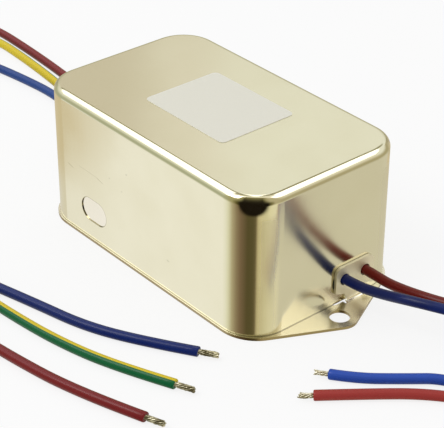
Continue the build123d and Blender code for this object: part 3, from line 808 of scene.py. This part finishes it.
# The leads, each with its strands
strandShape = strandTree()
for number, (lead, facts) in enumerate(leads.items()):
    line = smoothLine(facts["route"])
    tube = addObject(f"{lead}_insulation", insulationTube(lead, line))
    tube.data.materials.append(insulationMaterial(lead))
    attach(tube, "root")
    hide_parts(f"{lead}_lead")
    side, state = ("load", "bright") if lead.endswith("load") else ("line", "dulled")
    copper = materials[f"tinned copper strand, {state}"]
    sizes = dict(strandSizes[side], Seed=number, Material=copper)
    bundle = plainMesh(f"{lead}_conductor", strandShape, sizes)
    heading = (line[-1] - line[-2]).normalized()
    start = line[-1] - heading * leadSizes["neckDepth"]
    bundle.transform(Matrix.Translation(start) @ heading.to_track_quat("Z", "Y").to_matrix().to_4x4())
    conductor = addObject(f"{lead}_conductor", bundle)
    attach(conductor, "root")
    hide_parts(f"{lead}_strands")
    if side == "line":  # the photograph's long wall mirrors none of these
        tube.visible_glossy = conductor.visible_glossy = False
print("leads made")

# Studio: surroundings that only mirror-like surfaces show. All angles are in degrees, and each tone
# stands at its place on the compass round the object, counted from -Y towards +X
studio = {
    "low": [  # what the walls mirror
        (-180, "DAD6C6"), (-62, "E6E2D8"), (-54, "FFFFFF"), (-45, "FEFEFB"), (-30, "E9E9D6"),
        (-17, "BCB396"), (-4, "98896F"), (8, "7F6B55"), (28, "5C5336"), (42, "5E5639"), (50, "6D6246"),
        (54, "B5A884"), (58, "DACFA6"), (69, "E4DCB8"), (77, "E2DCB8"), (86, "EEE8C8"),
        (107, "F0EBD2"), (124, "DAD6C6"), (130, "DAD6C6"), (180, "DAD6C6"),
    ],
    "middle": [  # level with the object, with the dark side that the camera stands on
        (-180, "B6AE90"), (-60, "B8BCA6"), (-42, "B8BCA6"), (-14, "ABA67B"), (-2, "6A6238"),
        (8, "1A140C"), (80, "1A140C"), (90, "807850"), (100, "C0B798"), (120, "B6AE90"), (180, "B6AE90"),
    ],
    "high": [  # what the top mirrors
        (-180, "F6F7F1"), (-131, "F6F7F1"), (-129, "EDE8DF"), (-127.1, "EBE9DF"), (-126.5, "DBD4C7"),
        (-115, "DBD4C7"), (-80, "F4F6EC"), (-44, "F4F6EC"), (-34, "B6B288"), (-12, "B0AA80"),
        (6, "A49E74"), (18, "908962"), (72, "908962"), (88, "C0B798"), (112, "C0B798"),
        (128, "EAE2CE"), (150, "F6F7F1"), (180, "F6F7F1"),
    ],
    "boxFoot": [  # height at which the soft boxes begin, 90 where there is none
        (-180, 44), (-150, 42), (-148, 90), (-136.5, 90), (-135.5, 34), (-127.5, 34), (-126.5, 90),
        (-121.5, 90), (-120, 39), (-100, 37), (-60, 33), (-45, 28), (-33, 30), (-28, 90), (112, 90),
        (118, 50), (134, 35.2), (150, 42), (180, 44),
    ],
    "boxTop": [  # and at which they end
        (-180, 64), (-150, 55), (-147, 62), (-126, 62), (-119, 48), (-110, 53), (-100, 57), (-80, 60),
        (-60, 60), (-40, 56), (-28, 50), (112, 55), (125, 66), (150, 70), (180, 64),
    ],
    "shade": "DACDB1",  # low down at the left, where the long wall is darker under its top
    "edge": "9A967A",  # the dark line under the boxes behind the object
    "zenith": "F6F1E2",  # straight above
    "box": 1.8,  # brightness of the soft boxes
    "layers": [  # laid over the low tones, each fading in from one angle to the next
        ("shade", [("height", -30.8, -29.2), ("compass", -54.3, -55.7)]),
        ("middle", [("height", -27, -11)]),
        ("high", [("height", 0, 32)]),
        ("edge", [("compass", -160, -150), ("compass", -95, -105), ("height", 31.5, 34)]),
        ("zenith", [("height", 58, 64)]),
        ("box", [("boxFoot", -1, 1), ("boxTop", 1, -1)]),
    ],
    "plain": 0.74,  # even light on all that isn't a mirror
    "backdrop": 1.0,  # white for the camera
}
world = bpy.data.worlds.new("studio")
world.use_nodes = True
scene.world = world
tree = world.node_tree
tree.nodes.clear()
direction = addNode(tree, "ShaderNodeTexCoord").outputs["Generated"]
way = addNode(tree, "ShaderNodeSeparateXYZ", {0: direction}).outputs
front = addNode(tree, "ShaderNodeMath", {0: way["Y"], 1: -1.0}, operation="MULTIPLY").outputs[0]
around = addNode(tree, "ShaderNodeMath", {0: way["X"], 1: front}, operation="ARCTAN2").outputs[0]
rise = addNode(tree, "ShaderNodeMath", {0: way["Z"]}, operation="ARCSINE").outputs[0]
angles = {
    name: addNode(tree, "ShaderNodeMath", {0: radians}, operation="DEGREES").outputs[0]
    for name, radians in (("compass", around), ("height", rise))
}
turn = addNode(tree, "ShaderNodeMapRange", {
    "Value": angles["compass"], "From Min": -180, "From Max": 180,
}).outputs[0]
tones = {name: hexColour(studio[name]) for name in ("shade", "edge", "zenith")}
tones["box"] = grey(studio["box"])
for name in ("low", "middle", "high", "boxFoot", "boxTop"):  # heights are greys, as shares of 90 degrees
    ramp = addNode(tree, "ShaderNodeValToRGB", {"Fac": turn})
    stops = ramp.color_ramp.elements
    while len(stops) < len(studio[name]):
        stops.new(1.0)
    for stop, (degrees, tone) in zip(stops, studio[name]):
        stop.position = (degrees + 180) / 360
    for stop, (degrees, tone) in zip(stops, studio[name]):
        stop.color = hexColour(tone) if isinstance(tone, str) else grey(tone / 90)
    tones[name] = ramp.outputs["Color"]
for name in ("boxFoot", "boxTop"):  # how far above the soft boxes' foot and top
    limit = addNode(tree, "ShaderNodeMath", {0: tones[name], 1: 90.0}, operation="MULTIPLY").outputs[0]
    angles[name] = addNode(tree, "ShaderNodeMath", {
        0: angles["height"], 1: limit,
    }, operation="SUBTRACT").outputs[0]
painted = tones["low"]
for tone, fades in studio["layers"]:
    share = 1.0
    for angle, start, end in fades:
        fade = addNode(tree, "ShaderNodeMapRange", {
            "Value": angles[angle], "From Min": start, "From Max": end,
        }, interpolation_type="SMOOTHSTEP").outputs[0]
        share = addNode(tree, "ShaderNodeMath", {0: share, 1: fade}, operation="MULTIPLY").outputs[0]
    painted = addNode(tree, "ShaderNodeMix", {
        "Factor": share, 6: painted, 7: tones[tone],
    }, data_type="RGBA").outputs[2]
even, mirrored, backdrop = [
    addNode(tree, "ShaderNodeBackground", {"Color": colour, "Strength": strength}).outputs[0]
    for colour, strength in ((grey(1), studio["plain"]), (painted, 1.0), (grey(1), studio["backdrop"]))
]
rays = addNode(tree, "ShaderNodeLightPath").outputs
lit = even
for ray, light in (("Is Glossy Ray", mirrored), ("Is Camera Ray", backdrop)):
    lit = addNode(tree, "ShaderNodeMixShader", {0: rays[ray], 1: lit, 2: light}).outputs[0]
addNode(tree, "ShaderNodeOutputWorld", {0: lit})

# Floor: white paper, lifted towards white for the camera so that only a faint shadow stays
paper = {
    "reach": 2.0,  # m from the middle
    "drop": 0.0001,  # m below the plate, so that the two never fight
    "colour": 0.78,
    "roughness": 1.0,
    "glow": 1.03,  # brightness of the lift
    "glowShare": 0.8,  # of what the camera sees
}
reach = paper["reach"]
floorMesh = bpy.data.meshes.new("floor")
corners = [(-reach, -reach, 0), (reach, -reach, 0), (reach, reach, 0), (-reach, reach, 0)]
floorMesh.from_pydata(corners, [], [(0, 1, 2, 3)])
floor = addObject("floor", floorMesh)
floor.location.z = -paper["drop"]
whitePaper, tree, shader = newMaterial("white background paper")
shader.inputs["Base Color"].default_value = grey(paper["colour"])
shader.inputs["Roughness"].default_value = paper["roughness"]
shader.inputs["Specular IOR Level"].default_value = 0.0
glow = addNode(tree, "ShaderNodeEmission", {"Color": grey(1), "Strength": paper["glow"]})
cameraRay = addNode(tree, "ShaderNodeLightPath").outputs["Is Camera Ray"]
share = addNode(tree, "ShaderNodeMath", {0: cameraRay, 1: paper["glowShare"]}, operation="MULTIPLY")
either = addNode(tree, "ShaderNodeMixShader", {0: share.outputs[0], 1: shader.outputs[0], 2: glow.outputs[0]})
tree.links.new(either.outputs[0], tree.nodes["Material Output"].inputs["Surface"])
floorMesh.materials.append(whitePaper)
floor.visible_glossy = False

# Soft key lamp above and to the left of the camera
keyLamp = {"place": (-0.2, -0.6, 0.9), "size": 0.5, "power": 3.0}  # m, m and W
lampData = bpy.data.lights.new("key lamp", "AREA")
lampData.size = keyLamp["size"]
lampData.energy = keyLamp["power"]
lamp = addObject("key lamp", lampData)
lamp.location = keyLamp["place"]
lamp.rotation_euler = (-Vector(keyLamp["place"])).to_track_quat("-Z", "Y").to_euler()
scene.view_settings.view_transform = "Standard"
print("studio lit")
